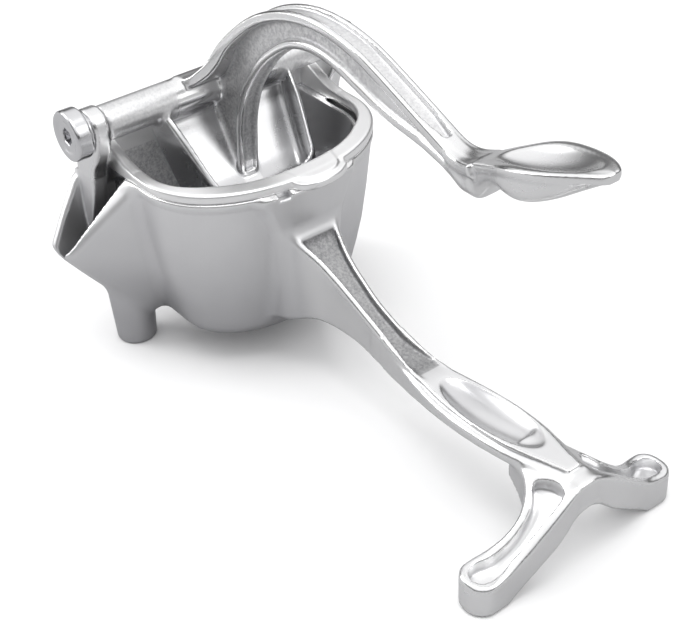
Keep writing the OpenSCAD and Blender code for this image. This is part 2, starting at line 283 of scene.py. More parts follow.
def smooth01(a, b, v):
    t = np.clip((v - a) / (b - a), 0, 1)
    return t * t * (3 - 2 * t)


def ycyl(x0, z0, y0, y1, r, e=0.6):
    def fn(x, y, z):
        rad = np.hypot(x[:, None, None] - x0, z[None, None, :] - z0) - r
        ax = np.maximum(y0 - y, y - y1)[None, :, None]
        return rmax(rad, ax, e).astype(np.float32)
    return fn


def slab(profile_xz, half, r, y0=0.0):
    """side outline extruded about y0; half is a number or a function of x"""
    def fn(x, y, z):
        d = poly(profile_xz, x, z)[:, None, :]
        w = half(x)[:, None, None] if callable(half) else half
        return rmax(d, np.abs(y - y0)[None, :, None] - w, r).astype(np.float32)
    return fn


def planes_of(points):
    bm = bmesh.new()
    for p in points:
        bm.verts.new(p)
    res = bmesh.ops.convex_hull(bm, input=bm.verts)
    bm.normal_update()
    c = np.mean(np.array(points), 0)
    out = []
    for fc in bm.faces:
        nrm = np.array(fc.normal)
        o = np.array(fc.verts[0].co)
        if nrm @ (o - c) < 0:
            nrm = -nrm
        if not any(np.dot(nrm, q[0]) > 0.9995 for q in out):
            out.append((nrm, float(nrm @ o)))
    bm.free()
    return out


def convex(points, k=2.0, grow=0.0):
    P = planes_of(points)

    def fn(x, y, z):
        d = None
        for nrm, o in P:
            e = (nrm[0] * x[:, None, None] + nrm[1] * y[None, :, None] + nrm[2] * z[None, None, :] - o).astype(np.float32)
            d = e if d is None else smax(d, e, k)
        return d - grow
    return fn


def ellipsoid(c, r, tilt=0.0):
    """tilt: rotation about y, degrees, nose up for positive"""
    ca, sa = math.cos(math.radians(tilt)), math.sin(math.radians(tilt))

    def fn(x, y, z):
        dx, dz = x[:, None, None] - c[0], z[None, None, :] - c[2]
        u = (dx * ca + dz * sa) / r[0]
        v = (y[None, :, None] - c[1]) / r[1]
        w = (-dx * sa + dz * ca) / r[2]
        q = np.sqrt(u * u + v * v + w * w)
        g = np.sqrt((u / r[0]) ** 2 + (v / r[1]) ** 2 + (w / r[2]) ** 2)
        return (q * (q - 1) / np.maximum(g, 1e-6)).astype(np.float32)
    return fn


# --------------------------------------------------------------------------
# body
# --------------------------------------------------------------------------
RIM_Z, CUP_RIM = 84.0, 88.5


def bowl_params(z):
    zz = [5, 11, 22, 34, 45, 60, 84, 96]
    return (np.interp(z, zz, [-39.4, -39.6, -40.0, -40.3, -40.6, -41.0, -41.5, -41.8]),
            np.interp(z, zz, [-7, -7, -7, -6.5, -6, -5.6, -5, -4.7]),
            np.interp(z, zz, [22.5, 24.6, 28.2, 31.0, 33.0, 35.0, 37.8, 39.0]),
            np.interp(z, zz, [33.8, 36.2, 40.0, 43.0, 45.4, 47.6, 50.2, 51.4]))


def bowl2d(x, y, z):
    out = np.empty((len(x), len(y), len(z)), np.float32)
    zs = np.arange(math.floor(z[0] / 3) * 3, z[-1] + 3.01, 3.0)
    sl = [poly(dee(*bowl_params(q), 2.15), x, y) for q in zs]
    for i, q in enumerate(z):
        t = (q - zs[0]) / 3.0
        j = min(int(t), len(zs) - 2)
        u = t - j
        out[:, :, i] = sl[j] * (1 - u) + sl[j + 1] * u
    return out


FLOOR_Z = 11.0
HT = [(8, 80), (20, 74), (30.8, 66.4), (36.2, 61.8), (43.4, 57.7), (50.6, 53.5), (58.3, 49.4), (65.9, 45.4), (74, 42), (82, 38.9),
      (90.7, 36.4), (100, 35.1), (110.6, 34.8), (121, 35.1), (131, 35.6), (150, 36.2), (164, 36.8), (172.4, 37.1)]
HB = [(178.4, 24.6), (168, 25.4), (160, 28.2), (150, 29.6), (135, 28.8), (118, 27.4), (104, 25.8), (94, 24.4), (85, 24.4), (72.5, 26.6),
      (60.5, 28.8), (43, 29), (30, 25.4), (8, 20)]
HW = np.array([(8, 16), (25, 14.4), (30.8, 13), (36.2, 9.9), (43.4, 7.5), (50.6, 6.2), (58.3, 5.5), (65.9, 5.1), (74, 5.1), (82, 5.4),
               (90.7, 6.5), (100, 8.2), (110.6, 10), (121.2, 11.1), (131, 11.5), (140, 11.3), (148.7, 10.5), (156.3, 8.9), (163.6, 7),
               (171, 5.4), (180, 5.0)])


def table_fn(tab):
    c = spline(tab, n=6)
    return lambda x: np.interp(x, c[:, 0], c[:, 1]).astype(np.float32)


hw = table_fn(HW)
ht = table_fn(HT)
hb = table_fn(sorted(HB))


def make_body():
    F = Field((-46, -79.5, -2), (183.5, 66, 116), 0.72)
    cache = {}
    bb = (-46, 40, -55, 55, -2, 100)
    s = F.block(bb)
    x, y, z = F.axes(s)
    D = bowl2d(x, y, z)
    Z = z[None, None, :]
    # outer bowl with a rolled lip
    outer = rmax(D, FLOOR_Z - Z, 9.0)
    lipband = rmax(D - 0.35, np.abs(Z - (RIM_Z - 1.5)) - 1.5, 0.7)
    outer = smin(rmax(outer, Z - RIM_Z, 0.8), lipband, 1.2)
    F.f[s] = outer
    # beak
    beak_pts = [(-40.6, -36, 82), (-41.4, -61.5, 80.5), (-40.2, -76.2, 53.4), (-26.8, -75.6, 53.2), (-9.6, -49.2, 83.6),
                (-33, -75.0, 50.0), (-34, -64, 36), (-35, -55.5, 23.5), (-36, -44, 12), (-11, -42, 40), (-24, -38, 15), (-25, -42.6, 13.5), (-31, -44.2, 12.5)]
    F.apply((-46, 2, -79, -30, 6, 96), convex(beak_pts, 2.0), "add", 4.0)
    # pad that the handle grows from: a shield on the bowl's round end
    def shield(x, y, z):
        d = poly(spline([(-21, 84), (-19, 76), (-15.5, 67), (-13, 58), (-9, 44), (0, 36), (9, 44), (13, 58), (15.5, 67), (19, 76), (21, 84), (0, 92)], True, 5), y, z)[None, :, :]
        dd = bowl2d(x, y, z) - 2.6
        q = rmax(dd, d, 2.2)
        return rmax(np.maximum(q, z[None, None, :] - RIM_Z + 0.1), 8 - x[:, None, None], 1).astype(np.float32)
    F.apply((8, 46, -26, 26, 30, 92), shield, "add", 3.0)

    # handle
    def handle(x, y, z):
        side = poly(spline(HT, n=4).tolist() + spline(HB, n=4).tolist(), x, z)[:, None, :]
        w = hw(x)[:, None, None] - np.interp(x, [82, 98], [0.0, 2.0])[:, None, None]
        return rmax(side, np.abs(y)[None, :, None] - w, np.float32(1.8)).astype(np.float32)

    def handle_flange(x, y, z):
        # lower flange from the grip to the foot, one step below the plateau
        top = [(a, b - 1.9) for a, b in HT]
        side = poly(spline(top, n=4).tolist() + spline(HB, n=4).tolist(), x, z)[:, None, :]
        w = hw(x)[:, None, None]
        return rmax(side, np.abs(y)[None, :, None] - w, 1.7).astype(np.float32)

    def handle_plateau(x, y, z):
        side = poly(spline(HT, n=4).tolist() + spline(HB, n=4).tolist(), x, z)[:, None, :]
        w = hw(x)[:, None, None] - np.interp(x, [84, 104, 180], [0.0, 2.3, 2.0])[:, None, None]
        return rmax(np.maximum(side, x[:, None, None] - 171.5), np.abs(y)[None, :, None] - w, 0.9).astype(np.float32)

    F.apply((8, 98, -20, 20, 16, 84), handle, "add", 4.0)
    F.apply((72, 183, -20, 20, 16, 46), handle_flange, "add", 0.5)
    F.apply((78, 183, -20, 20, 16, 46), handle_plateau, "add", 0.5)

    # legs
    def leg(sy):
        def fn(x, y, z):
            rad = np.hypot(x[:, None, None] + 34.5, y[None, :, None] - sy * 47)
            r = np.interp(z, [0, 30, 60, 72], [8.2, 9.8, 4.0, 0.5])[None, None, :]
            return rmax(rad - r, -Z0(z), 1.3).astype(np.float32)
        return fn

    def Z0(z):
        return z[None, None, :]
    F.apply((-46, -18, -62, -30, -2, 74), leg(-1), "add", 3.0)
    F.apply((-46, -18, 30, 62, -2, 74), leg(1), "add", 4.0)

    # hollow
    s = F.block(bb)
    inner = rmax(D + 3.0, (FLOOR_Z + 3.0) - Z, 6.5)
    F.f[s] = smax(F.f[s], -inner, 0.8)
    spout_pts = [(-38.2, -38, 100), (-37.6, -57, 84), (-36.6, -80, 58.5), (-29.6, -79.4, 58), (-13.8, -45.4, 96),
                 (-33, -79.2, 53.6), (-33.6, -60, 37.5), (-34, -51, 25), (-34, -40, 19), (-15.4, -38, 42), (-36, -60, 112), (-16, -50, 104)]
    F.apply((-46, 2, -79.5, -30, 10, 100), convex(spout_pts, 2.0), "cut", 0.8)

    # hinge lugs
    def lug(sy):
        prof = spline([(-32.6, 106), (-30.5, 110.9), (-25, 112.7), (-19.5, 110.9), (-17.4, 106), (-18.0, 100), (-21.4, 92), (-25.6, 84), (-29, 70), (-36, 57), (-39.6, 72), (-37.6, 86), (-34.2, 98)], True, 6)

        def fn(x, y, z):
            d = poly(prof, x, z)[:, None, :]
            return rmax(d, np.abs(y - sy * 56.3)[None, :, None] - 3.3, 0.9).astype(np.float32)
        return fn
    F.apply((-42, -12, -62, -50, 50, 116), lug(-1), "add", 1.5)
    F.apply((-42, -12, 50, 62, 50, 116), lug(1), "add", 1.5)

    def root(sy):
        prof = [(-41, 78), (-20, 79), (-20.5, 66), (-37, 56)]

        def fn(x, y, z):
            d = poly(prof, x, z)[:, None, :]
            ylo, yhi = (47.5, 59.4)
            return rmax(d, np.maximum(ylo - sy * y, sy * y - yhi)[None, :, None], 1.2).astype(np.float32)
        return fn
    F.apply((-44, -12, 44, 62, 50, 90), root(1), "add", 2.5)
    # near lug is tied to the bowl by the wall of the beak
    def tie(x, y, z):
        d = poly([(-41.4, 82), (-34, 84), (-34, 66), (-37.6, 56), (-41, 56)], x, z)[:, None, :]
        return rmax(d, np.maximum(-59.4 - y, y + 46)[None, :, None], 1.0).astype(np.float32)
    F.apply((-44, -28, -62, -42, 50, 90), tie, "add", 1.0)
    # bolt holes
    F.apply((-32, -18, -63, 63, 98, 112), ycyl(HX, HZ, -70, 70, 3.56, 0.1), "cut")
    F.apply((-40, -10, -53.1, 53.1, 90, 116), ycyl(HX, HZ, -53.0, 53.0, 10, 0.1), "cut")

    # channel along the top of the handle
    def channel(x, y, z):
        depth = np.interp(x, [30, 33.5, 40, 82, 92, 106], [-2, 1.0, 3.2, 3.0, 2.0, -0.6])
        top = ht(x)
        w = hw(x) - np.interp(x, [30, 40, 92, 104], [3.0, 2.3, 2.1, 3.2])
        d1 = (top - depth)[:, None, None] - z[None, None, :]
        d1 = np.maximum(d1 * 0.86, z[None, None, :] - top[:, None, None] - 2.6)
        e = np.maximum(35.0 - x, x - 112)[:, None, None]
        return rmax(rmax(d1, np.abs(y)[None, :, None] - np.maximum(w, 0.2)[:, None, None], 1.0), e, 1.0).astype(np.float32)
    F.apply((28, 114, -14, 14, 26, 84), channel, "cut", 0.7)
    # oval dish in the grip
    F.apply((98, 164, -12, 12, 24, 52), ellipsoid((130.6, 0, 38.8), (27.6, 9.3, 8.0), 0.6), "cut", 0.35)

    # forked foot
    FS = spline([(-47, 7), (-46, 12.6), (-39.2, 13.4), (-33, 14.8), (-27, 18.6), (-20, 24.4), (-11.5, 31.2), (-5, 34.6), (0, 35.4), (5, 34.6), (11.5, 31.2),
                 (20, 24.4), (27, 18.6), (33, 14.8), (39.2, 13.4), (46, 12.6), (47, 7)], n=5).tolist()
    FB = [(47.2, -0.0), (33, 0.0), (23, 7.6), (12.5, 15.4), (6, 21.4), (0, 24.0), (-6, 21.4), (-12.5, 15.4), (-23, 7.6), (-33, 0.0), (-47.2, -0.0)]
    FF = [(a, b - 4.6) for a, b in FS] + [(60, 60), (-60, 60)]
    front_out = FS + FB
    pl = [(148, -7), (155, -9.4), (160.6, -12.2), (164.6, -16.4), (166.4, -21), (166, -26), (164.4, -31), (163, -36)]
    tip = [(170 + 7.6 * math.cos(math.radians(t)), -39.2 + 7.6 * math.sin(math.radians(t))) for t in (195, 220, 245, 270, 295, 320, 345)]
    rear = [(177.4, -36), (177.4, -30), (178.4, -22), (179.2, -12), (178.6, -4)]
    half_plan = spline(pl + tip + rear, n=5).tolist()
    plan_out = mirror(half_plan)
    pk = [(163.8, -10.6), (168, -15.6), (169.6, -21), (169.2, -27), (167.4, -33), (165.6, -38), (166.6, -42), (170, -43.7), (173.6, -42), (174.6, -37),
          (174.2, -30), (175.0, -22), (175.8, -14), (175.6, -9.6), (173.6, -7.2), (168.6, -7.4)]
    pocket = spline(pk, True, 5)

    def foot(x, y, z):
        a = poly(front_out, y, z)[None, :, :]
        b = poly(plan_out, x, y)[:, :, None]
        return rmax(a, b, 1.5).astype(np.float32)
    F.apply((146, 183.4, -50, 50, -2, 44), foot, "add", 1.6)

    def pockets(x, y, z):
        a = -poly(FS + [(60, -60), (-60, -60)], y, z)[None, :, :] - 4.4
        a = poly([(q[0], q[1] - 4.6) for q in FS] + [(60, 60), (-60, 60)], y, z)[None, :, :]
        b = np.minimum(poly(pocket, x, y), poly([(p, -q) for p, q in pocket], x, y))[:, :, None]
        return rmax(a, b, 1.3).astype(np.float32)
    F.apply((158, 181, -48, 48, 2, 44), pockets, "cut", 0.3)
    # square notch beside the cup tab
    def notch(x, y, z):
        return np.maximum(np.maximum(np.abs(x - 34)[:, None, None] - 3.2, np.abs(y + 12.6)[None, :, None] - 2.6), np.abs(z - 84.4)[None, None, :] - 2.2).astype(np.float32)
    F.apply((28, 42, -20, -6, 78, 90), notch, "cut", 0.3)
    # flat feet
    F.apply((-46, 183.5, -79.5, 66, -2, 2), lambda x, y, z: (-z[None, None, :] + 0 * x[:, None, None] + 0 * y[None, :, None]).astype(np.float32), "keep")

    def rough(V):
        x, y, z = V.T
        ch = (x > 34) & (x < 104) & (np.abs(y) < hw(x) - 1.7) & (z > ht(x) - 4.6) & (z < ht(x) - 0.6)
        fx = (x > 160) & (z < 33)
        pockets_ = np.zeros(len(V))
        return np.clip(ch * smooth01(104, 96, x) + pockets_, 0, 1)

    # painted shade: the bowl darkens towards its bottom, and the grip's oval dish darkens, most towards +y
    def side(V):
        x, y, z = V.T
        bowl = smooth01(84, 10, z) * smooth01(46, 34, x)
        q = ((x - 130.6) / 25.5) ** 2 + (y / 8.4) ** 2
        dish = smooth01(1.0, 0.8, q) * (z > 28) * (0.35 + 0.65 * smooth01(-3, 5, y)) * smooth01(156, 118, x)
        return np.clip(bowl + dish, 0, 1)

    def satin(V):
        x, y, z = V.T
        bowl = smooth01(40, 33, x) * smooth01(83.2, 82.2, z)
        return np.clip(bowl, 0, 1)
    return F, {"cast": rough, "low": side, "satin": satin}


# --------------------------------------------------------------------------
# cup
# --------------------------------------------------------------------------
def cup_params(z):
    zz = [48, 54, 62, 84.4, 100]
    return (np.interp(z, zz, [-36.4, -36.6, -36.9, -37.3, -37.4]),
            np.interp(z, zz, [-7.4, -7, -6.6, -5, -4.8]),
            np.interp(z, zz, [25.4, 26.6, 28.6, 33.0, 33.4]),
            np.interp(z, zz, [39.0, 40.2, 42.0, 45.5, 45.8]))


def cup2d(x, y, z):
    out = np.empty((len(x), len(y), len(z)), np.float32)
    zs = np.arange(math.floor(z[0] / 4) * 4, z[-1] + 4.01, 4.0)
    sl = [poly(dee(*cup_params(q), 2.15), x, y) for q in zs]
    for i, q in enumerate(z):
        t = (q - zs[0]) / 4.0
        j = min(int(t), len(zs) - 2)
        u = t - j
        out[:, :, i] = sl[j] * (1 - u) + sl[j + 1] * u
    return out


def rim_top(x):
    """height of the rim along x: it climbs beside the hinge"""
    c = spline([(-38, 96.0), (-34, 95.8), (-30, 94.8), (-24, 92.2), (-18, 89.9), (-12, 88.8), (-6, 88.5), (40, 88.5)], n=6)
    return np.interp(x, c[:, 0], c[:, 1]).astype(np.float32)


def make_cup():
    F = Field((-40, -53, 48), (41.5, 53, 98), 0.5)
    s = F.block((-40, 41.5, -53, 53, 48, 98))
    x, y, z = F.axes(s)
    D = cup2d(x, y, z)
    X, Y, Z = x[:, None, None], y[None, :, None], z[None, None, :]
    wall = np.maximum(D, Z - 86)
    wall = rmax(wall, 51 - Z, 4.0)
    # front wall rises to the barrel
    front = np.maximum(np.maximum(np.abs(X + 36.3) - 1.05, np.abs(Y) - 45.4), np.maximum(Z - 95.4, 60 - Z))
    wall = np.minimum(wall, front)
    O = poly(dee(-37.4, -5, 38.4, 50.6, 2.15), x, y)[:, :, None]
    top = rim_top(x)[:, None, None]
    bot = np.interp(x, [-40, -34, -22, -12, 40], [70, 74, 82, 84.4, 84.4])[:, None, None]
    rim = rmax(O, np.maximum(Z - top, bot - Z), 1.3)
    tab = rmax(poly(spline([(20, -9), (31, -8.6), (36, -7), (38.7, -3), (39.4, 3), (38.6, 9), (36.6, 13.4), (33, 16.4), (20, 17)], True, 4), x, y)[:, :, None], np.maximum(Z - 87.6, 84.3 - Z), 0.9)
    tab2 = rmax(poly(spline([(20, -6.6), (31, -6.2), (34.4, -4.8), (36.4, -1.6), (37, 3), (36.4, 8), (34.6, 11.6), (31, 14), (20, 14.6)], True, 4), x, y)[:, :, None], np.maximum(Z - 88.6, 84.3 - Z), 0.9)
    f = smin(smin(smin(wall, rim, 1.2), tab, 0.8), tab2, 0.6)
    # hollow
    I = poly(dee(-35.2, -5, 28.8, 45.9, 2.15), x, y)[:, :, None]
    hollow = rmax(D + 2.3, 54 - Z, 3.5)
    up = np.maximum(I, 83.6 - Z)
    f = smax(f, -np.minimum(hollow, up), 1.0)
    # drain holes
    for ix in range(5):
        for iy in range(-3, 4):
            c = np.hypot(X - (-25 + ix * 8), Y - iy * 8) - 2.2
            g = np.maximum(c, Z - 58)
            f = np.maximum(f, -g)
    F.f[s] = f.astype(np.float32)
    F.apply((-40, -8, -53, 53, 88, 98), ycyl(HX, HZ, -60, 60, 10.3, 0.1), "cut", 0.5)

    def cast(V):
        x, y, z = V.T
        inside = smooth01(-33.4, -34.4, x) * (np.abs(y) < 44) * (z < 95)
        return inside

    def painted_highlight(V):
        # painted highlight: near-white colour on the rim top above z 84
        x, y, z = V.T
        return smooth01(84.0, 85.0, z)

    def painted_shade_hollow(V):
        # painted shade: the cup's inside walls are darkened below the rim
        x, y, z = V.T
        g = F.sample(V, D)
        return smooth01(-1.4, -2.0, g) * smooth01(84.4, 82.0, z) * smooth01(-34, -31, x)
    return F, {"cast": cast, "painted_highlight": painted_highlight, "low": painted_shade_hollow}


# --------------------------------------------------------------------------
# lever
# --------------------------------------------------------------------------
A_OUT = [(-27, 112.0), (-20.7, 113.2), (-16.4, 116.4), (-12.6, 121.2), (-6.9, 130), (2.3, 139), (11.5, 145.5), (23, 150.6), (34.5, 153.6),
         (46, 154.7), (57.5, 153.9), (69, 151.5), (78.5, 148.1), (92.6, 142.1), (106.5, 136.0), (114, 133.0), (120, 132.4), (127, 134.2)]
A_IN = [(127, 124.6), (121.5, 122.2), (114.5, 124.2), (106, 126.4), (96, 128.4), (86, 130.2), (76, 132.6), (66.7, 135.9), (57.5, 139.2), (49.5, 140.8),
        (40.8, 140.8), (31.7, 138.6), (22.2, 133.2), (11.5, 124.2), (0.5, 109.8), (-5.0, 96), (-6.9, 83), (-8.0, 72)]
A_FOOT = [(-10, 69.6), (-13, 72), (-18.6, 82), (-24, 93), (-28, 102)]
FL = np.array([(-32, 19.5), (-22, 18.6), (-16.7, 16.2), (-12.6, 12.9), (-6.9, 10), (2.3, 7.6), (11.5, 6.0), (23, 5.1), (60, 5.0), (100, 5.0),
               (112, 5.0), (118, 5.6), (124, 7.0), (130, 8.4)])
fl = table_fn(FL)


def offset_poly(pts, d):
    """points moved sideways by d, to the right of travel"""
    p = np.array(pts, float)
    t = np.gradient(p, axis=0)
    t /= np.linalg.norm(t, axis=1)[:, None]
    return p + d * np.stack([t[:, 1], -t[:, 0]], 1)


GRIP_TOP = [(112, 132.6), (118, 131.8), (124, 133), (130, 136), (136, 139), (147, 143.8), (161, 147.4), (172, 150.0), (179, 150.9)]
GRIP_BOT = [(179.9, 149.6), (177, 146.8), (171, 143.0), (164, 138.4), (157, 134.8), (151, 133.0), (145.8, 132.8), (141, 132.6), (136.8, 129.8), (132, 124.4), (127.9, 120.8),
            (123.4, 120.1), (118.4, 121.6), (112, 125.2)]
GW = np.array([(110, 5), (116, 5.1), (121, 5.5), (126, 6.2), (131, 7.4), (137, 9.6), (144, 11.7), (151, 12.5), (158, 11.9), (165, 10.2), (171, 8.0), (176, 5.4), (179, 2.8), (180, 0.6)])
gw = table_fn(GW)
SC_OUT = [(-31.2, 104), (-29.2, 97.4), (-26.6, 91.8), (-21.7, 83.4), (-16.7, 74.8), (-12, 68.0), (-6.4, 64.3), (0, 64.2), (4.6, 66.2), (7.2, 70.2), (6.4, 74), (3.6, 77.6),
          (-0.5, 82.4), (-5.5, 89), (-10.5, 95.3), (-17, 101.8), (-24, 106.8)]
SC_IN = [(-22.4, 99), (-22.2, 92.6), (-18.2, 84.8), (-13.8, 77.2), (-9.8, 71.6), (-5, 67.8), (-0.6, 67.6), (2.8, 69.8), (5.2, 73.2), (9, 80.6), (18, 90), (6, 106), (-12, 118)]


def make_lever():
    F = Field((-35, -55, 61), (183, 55, 157.5), 0.62)
    # press head: a scoop with raised side edges
    sw = table_fn([(-34, 31.8), (-24, 31.0), (-10.5, 28.2), (-0.5, 25.2), (3.6, 23.4), (6.2, 19), (7.4, 12), (8.0, 5), (10, 1)])

    def scoop(x, y, z):
        d = poly(spline(SC_OUT, True, 5), x, z)[:, None, :]
        return rmax(d, np.abs(y)[None, :, None] - sw(x)[:, None, None], 1.6).astype(np.float32)

    def scoop_cut(x, y, z):
        # the floor curves up towards the side edges
        Y = np.abs(y)[None, :, None]
        w = sw(x)[:, None, None] - 2.4
        d = poly(spline(SC_IN, True, 5), x, z)[:, None, :]
        return rmax(d, Y - w, 4.0).astype(np.float32)
    F.apply((-35, 18, -35, 35, 61, 116), scoop, "add", 1.0)
    F.apply((-30, 24, -35, 35, 61, 116), scoop_cut, "cut", 0.6)
    # barrel
    F.apply((-35, -14, -55, 55, 95, 115), ycyl(HX, HZ, -52.8, 52.8, 7.0, 0.8), "add", 2.2)
    # arch web
    web_prof = spline(A_OUT, n=5).tolist() + spline(A_IN, n=5).tolist() + spline(A_FOOT, n=4).tolist()
    F.apply((-35, 128, -12, 12, 64, 157.5), slab(web_prof, 2.2, 0.4), "add", 3.2)
    # outer flange
    inner_line = offset_poly(spline(A_OUT, n=5), 4.0)
    of = spline(A_OUT, n=5).tolist() + inner_line[::-1].tolist()

    def outer_flange(x, y, z):
        d = poly(of, x, z)[:, None, :]
        return rmax(d, np.abs(y)[None, :, None] - fl(x)[:, None, None], 1.0).astype(np.float32)
    F.apply((-34, 130, -24, 24, 98, 157.5), outer_flange, "add", 1.6)
    # inner flange
    a_in = spline(A_IN, n=5)
    inn = a_in.tolist() + offset_poly(a_in, 3.4)[::-1].tolist()
    F.apply((-16, 128, -10, 10, 64, 150), slab(inn, lambda x: np.interp(x, [-20, 60, 100, 116, 128], [4.3, 4.3, 3.6, 4.4, 6.0]).astype(np.float32), 1.0), "add", 1.4)
    # upper grip
    gp = spline(GRIP_TOP, n=5).tolist() + spline(GRIP_BOT, n=5).tolist()

    def grip_low(x, y, z):
        d = poly(gp, x, z)[:, None, :]
        return rmax(d, np.abs(y)[None, :, None] - (gw(x)[:, None, None] - 0.4), 4.6).astype(np.float32)

    def grip_rim(x, y, z):
        gt = spline(GRIP_TOP, n=5)
        band = gt.tolist() + (gt - np.array([0, 3.2])).tolist()[::-1]
        d = poly(band, x, z)[:, None, :]
        return rmax(d, np.abs(y)[None, :, None] - gw(x)[:, None, None], 1.1).astype(np.float32)
    F.apply((110, 183, -15, 15, 115, 156), grip_low, "add", 2.0)
    F.apply((112, 183, -15, 15, 115, 156), grip_rim, "add", 0.8)
    # thumb dish
    F.apply((120, 182, -14, 14, 125, 170), ellipsoid((152.5, 0, 149.6), (26, 10.2, 8.8), 17.5), "cut", 0.8)

    # channel on top of the outer flange
    ao = spline(A_OUT, n=5)
    sel = ao[(ao[:, 0] > -6) & (ao[:, 0] < 111)]
    low = offset_poly(sel, 2.1)
    chan = low.tolist() + offset_poly(sel, -6)[::-1].tolist()
    F.apply((-12, 116, -6, 6, 120, 157.5), slab(chan, lambda x: np.interp(x, [-8, 6, 20, 100, 110, 112], [1.0, 2.6, 3.1, 3.0, 1.6, 0.4]).astype(np.float32), 0.8), "cut", 0.6)
    # groove on the inner flange
    sel = a_in[(a_in[:, 0] < 52)]
    g2 = offset_poly(sel, 1.2).tolist() + offset_poly(sel, -5)[::-1].tolist()
    F.apply((-20, 56, -4, 4, 66, 146), slab(g2, 2.3, 0.5), "cut", 0.5)
    # bore
    F.apply((-33, -17, -55, 55, 98, 112), ycyl(HX, HZ, -60, 60, 5.6, 0.1), "cut")

    def cast(V):
        x, y, z = V.T
        web = (np.abs(y) < 3.4)
        from_out = np.interp(x, spline(A_OUT, n=5)[:, 0], spline(A_OUT, n=5)[:, 1])
        arch = web & (z < from_out - 4.4) & (z > 80) & (x < 78)
        wv = smooth01(3.6, 2.7, np.abs(y)) * (z < from_out - 4.0) * (z > 76) * smooth01(90, 60, x)
        ch = (np.abs(y) < 2.8) & (z > from_out - 4.0) & (z < from_out - 0.7) & (x > 0) & (x < 110)
        bar = 0.5 * smooth01(21, 25, np.abs(y)) * (np.hypot(x - HX, z - HZ) < 8.5) * (np.hypot(x - HX, z - HZ) > 6.2)
        return np.clip(wv + ch * 0.55 + bar, 0, 1)

    def painted_highlight(V):
        # grip region marked for a painted highlight; the lever material does not read it
        x, y, z = V.T
        return smooth01(105, 118, x)

    def painted_shade_hollow(V):
        # painted shade in the hollow of the press head's scoop
        x, y, z = V.T
        return 0.7 * smooth01(9, 5, x) * smooth01(3.2, 4.4, np.abs(y)) * smooth01(104, 92, z)
    return F, {"cast": cast, "painted_highlight": painted_highlight, "low": painted_shade_hollow}


# --------------------------------------------------------------------------
# hinge hardware
# --------------------------------------------------------------------------
def make_bolt():
    F = Field((-36.5, -70.5, 93.5), (-13.5, 66, 116.5), 0.38)

    def fn(x, y, z):
        X, Z = x[:, None, None] - HX, z[None, None, :] - HZ
        Y = y[None, :, None]
        rad = np.hypot(X, Z)
        shank = np.maximum(rad - 3.5, np.maximum(-62 - Y, Y - 64.4))
        # head: dished face with a rounded rim
        face = -67.8 + 0.5 * smooth01(7.4, 5.8, rad)
        head = rmax(rad - 9.95, np.maximum(face - Y, Y + 61.2), 1.0)
        d = np.minimum(shank, head)
        hexr = np.maximum.reduce([np.abs(X * math.cos(a) + Z * math.sin(a)) for a in (math.radians(q) for q in (15, 75, 135))]) - 3.0
        d = np.maximum(d, -rmax(hexr, Y + 63.6, 0.2))
        return d.astype(np.float32)
    F.apply((-36.5, -13.5, -70.5, 66, 93.5, 116.5), fn, "add")
    return F, {}


def make_washer(y0, y1, r, e):
    F = Field((HX - r - 2, y0 - 1.5, HZ - r - 2), (HX + r + 2, y1 + 1.5, HZ + r + 2), 0.3)
    F.apply((-60, 10, y0 - 2, y1 + 2, 80, 130), ycyl(HX, HZ, y0, y1, r, e), "add")
    F.apply((-60, 10, y0 - 2, y1 + 2, 80, 130), ycyl(HX, HZ, y0 - 5, y1 + 5, 3.58, 0.05), "cut")
    return F, {}


def make_nut():
    F = Field((-33, 59.4, 97), (-17, 65.6, 113), 0.25)

    def fn(x, y, z):
        X, Z = x[:, None, None] - HX, z[None, None, :] - HZ
        Y = y[None, :, None]
        rad = np.hypot(X, Z)
        hx = np.maximum.reduce([np.abs(X * math.cos(a) + Z * math.sin(a)) for a in (math.radians(q) for q in (90, 150, 210))]) - 5.28
        d = rmax(hx, np.maximum(60.62 - Y, Y - 64.0), 0.2)
        cham = rad * 0.5 + np.maximum(Y - 64.0, 60.62 - Y) * 0.866 - 5.75 * 0.5 + 0.1
        d = np.maximum(d, cham)
        return np.maximum(d, 3.53 - rad).astype(np.float32)
    F.apply((-33, -17, 59.4, 65.6, 97, 113), fn, "add")
    return F, {}


# --------------------------------------------------------------------------
# materials
# --------------------------------------------------------------------------
def node(nt, kind, loc=(0, 0), **kw):
    n = nt.nodes.new(kind)
    for k, v in kw.items():
        if k in n.inputs.keys():
            n.inputs[k].default_value = v
        else:
            setattr(n, k, v)
    return n


